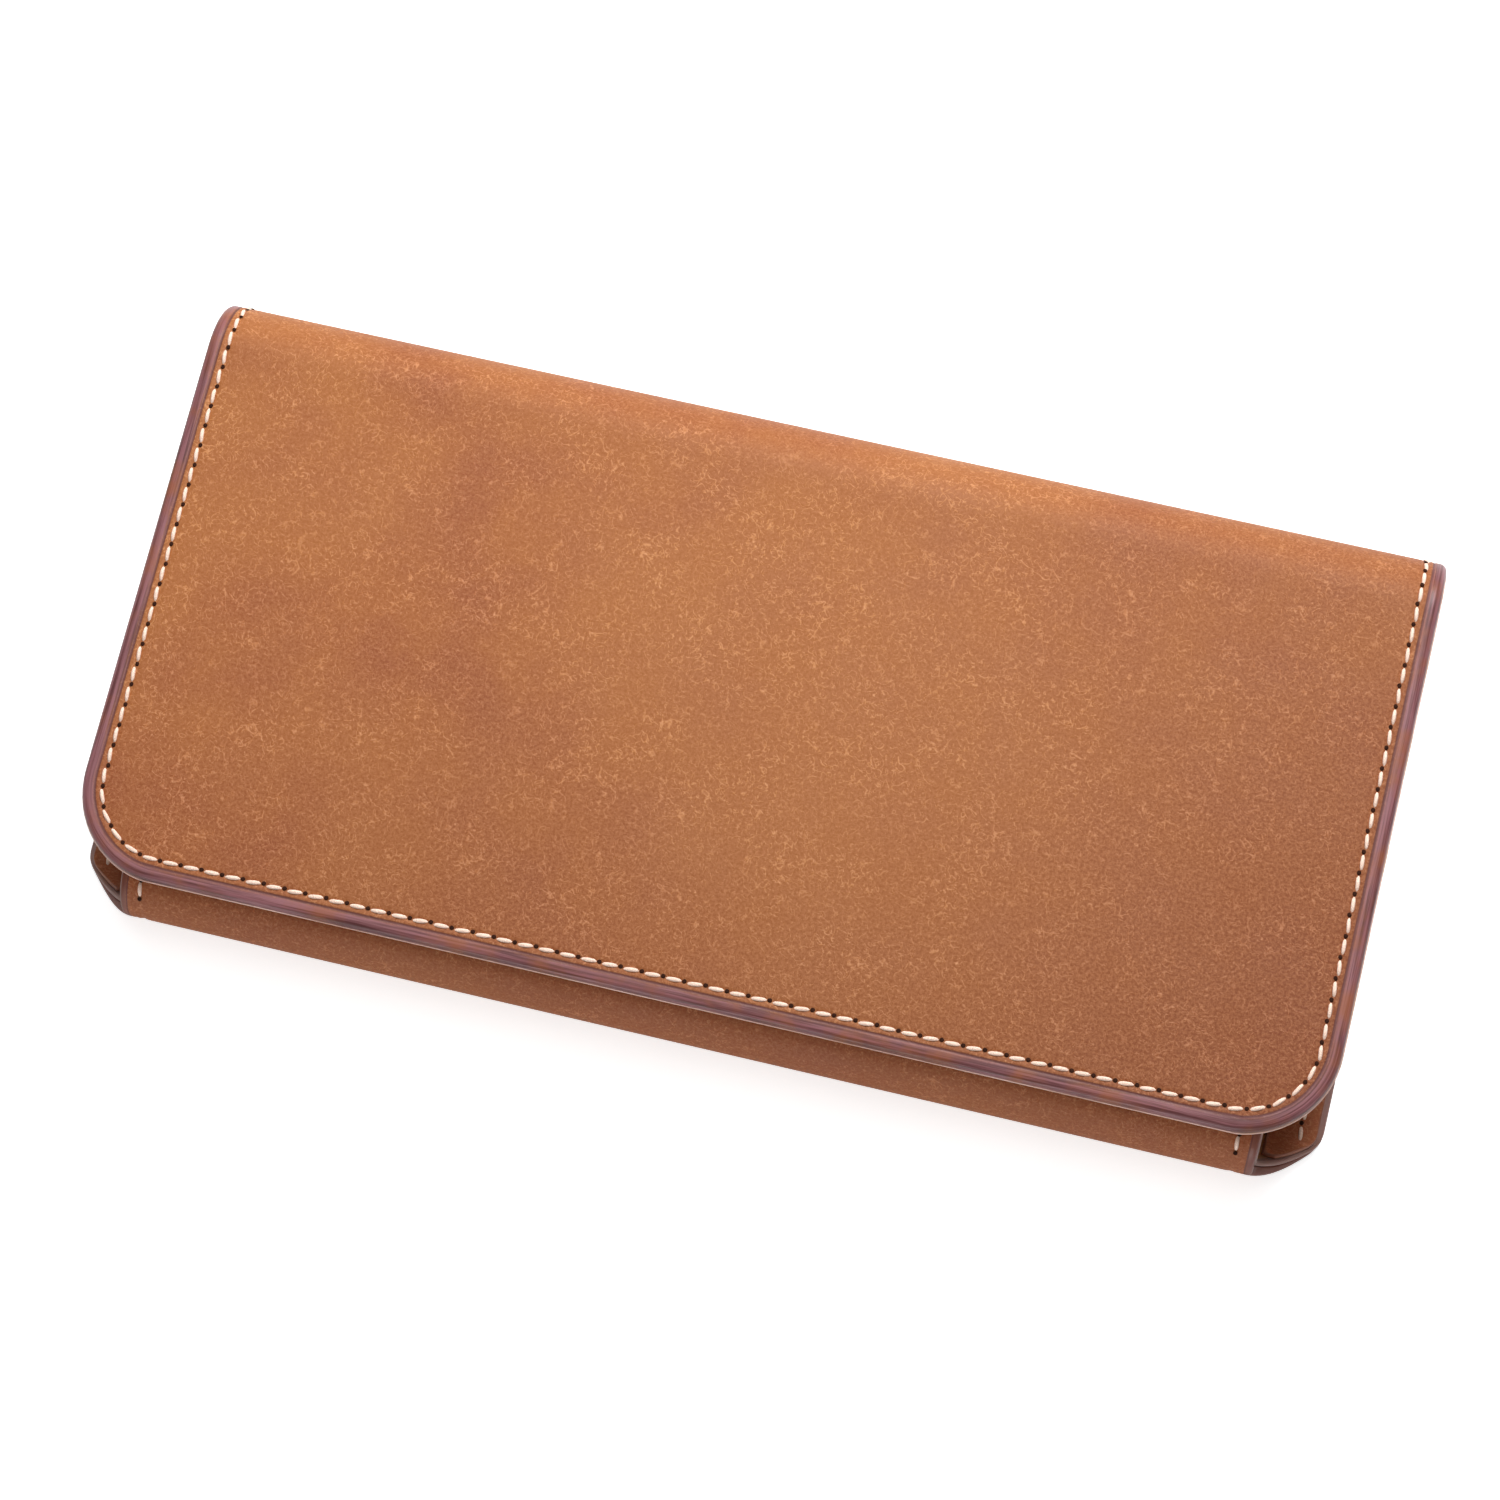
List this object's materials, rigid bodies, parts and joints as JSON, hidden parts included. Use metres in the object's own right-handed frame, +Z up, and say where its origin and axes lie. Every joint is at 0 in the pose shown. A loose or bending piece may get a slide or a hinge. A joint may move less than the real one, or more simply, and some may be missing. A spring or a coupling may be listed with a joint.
{
  "type": "long wallet",
  "caption": "Long flap wallet in stitched leather, lying closed on its back, with gusseted body, card pockets and a zipped coin pocket.",
  "frame": {"origin": "under the middle of the closed wallet, on the surface that it lies on", "axes": "+X across the wallet, +Y towards the top fold that the flap turns on, +Z up through the thickness, out of the flap's face"},
  "size_m": [0.198, 0.1, 0.02],
  "materials": {
    "outer_leather": "matte vegetable-tanned leather with fine buffed scratches",
    "lining_leather": "smooth thin natural leather",
    "thread": "waxed cream linen thread",
    "zip_tape": "woven brown tape",
    "brass": "satin brass"
  },
  "bodies": {
    "back": {"card_pocket_left_1": "lining_leather", "card_pocket_left_2": "lining_leather", "card_pocket_left_3": "lining_leather", "card_pocket_right_1": "lining_leather", "card_pocket_right_2": "lining_leather", "card_pocket_right_3": "lining_leather", "gusset_left": "outer_leather", "gusset_right": "outer_leather", "lining_back": "lining_leather", "lining_base_back": "lining_leather", "lining_fold_back": "lining_leather", "outer_back": "outer_leather", "outer_base_back": "outer_leather", "outer_fold_back": "outer_leather", "thread_gusset_left": "thread", "thread_gusset_right": "thread"},
    "front": {"lining_base_front": "lining_leather", "lining_front": "lining_leather", "outer_base_front": "outer_leather", "outer_front": "outer_leather", "thread_front_left": "thread", "thread_front_right": "thread"},
    "fold_lower": {"lining_fold_lower": "lining_leather", "outer_fold_lower": "outer_leather"},
    "fold_upper": {"lining_fold_upper": "lining_leather", "outer_fold_upper": "outer_leather"},
    "flap": {"lining_flap": "lining_leather", "lining_fold_flap": "lining_leather", "outer_flap": "outer_leather", "outer_fold_flap": "outer_leather", "thread_flap": "thread"},
    "coin_pocket": {"coin_side_strip": "lining_leather", "coin_wall_back": "lining_leather", "coin_wall_front": "lining_leather", "zip_stop_left": "brass", "zip_stop_right": "brass", "zip_tape_back": "zip_tape", "zip_tape_front": "zip_tape", "zip_teeth_back": "brass", "zip_teeth_front": "brass"},
    "slider": {"zip_slider": "brass"},
    "pull": {"zip_pull": "brass"}
  },
  "joints": [
    {"name": "fold_bend_lower", "type": "hinge", "parent": "back", "child": "fold_lower", "pos_m": [0, 0.04482, 0.00166], "axis": [-1, 0, 0], "range_deg": [0, 60]},
    {"name": "fold_bend_upper", "type": "hinge", "parent": "fold_lower", "child": "fold_upper", "pos_m": [0, 0.04963, 0.01], "axis": [-1, 0, 0], "range_deg": [0, 60]},
    {"name": "flap_open", "type": "hinge", "parent": "fold_upper", "child": "flap", "pos_m": [0, 0.04482, 0.01834], "axis": [-1, 0, 0], "range_deg": [0, 60]},
    {"name": "front_open", "type": "hinge", "parent": "back", "child": "front", "pos_m": [0, -0.0492, 0.00857], "axis": [1, 0, 0], "range_deg": [0, 15], "deforming": ["gusset_left", "gusset_right"]},
    {"name": "coin_pocket_tilt", "type": "hinge", "parent": "back", "child": "coin_pocket", "pos_m": [0, -0.041, 0.01145], "axis": [1, 0, 0], "range_deg": [0, 7.5]},
    {"name": "zip_slide", "type": "slide", "parent": "coin_pocket", "child": "slider", "axis": [-1, 0, 0], "range_m": [0, 0.125], "deforming": ["zip_teeth_back", "zip_teeth_front"]},
    {"name": "pull_swing", "type": "hinge", "parent": "slider", "child": "pull", "pos_m": [0.063, 0.0324, 0.01145], "axis": [0, 0, -1], "range_deg": [0, 180]}
  ],
  "couplings": [
    {"joint": "fold_bend_lower", "follows": "flap_open", "ratio": 1},
    {"joint": "fold_bend_upper", "follows": "flap_open", "ratio": 1},
    {"joint": "front_open", "follows": "flap_open", "ratio": 0.25},
    {"joint": "coin_pocket_tilt", "follows": "flap_open", "ratio": 0.125}
  ]
}
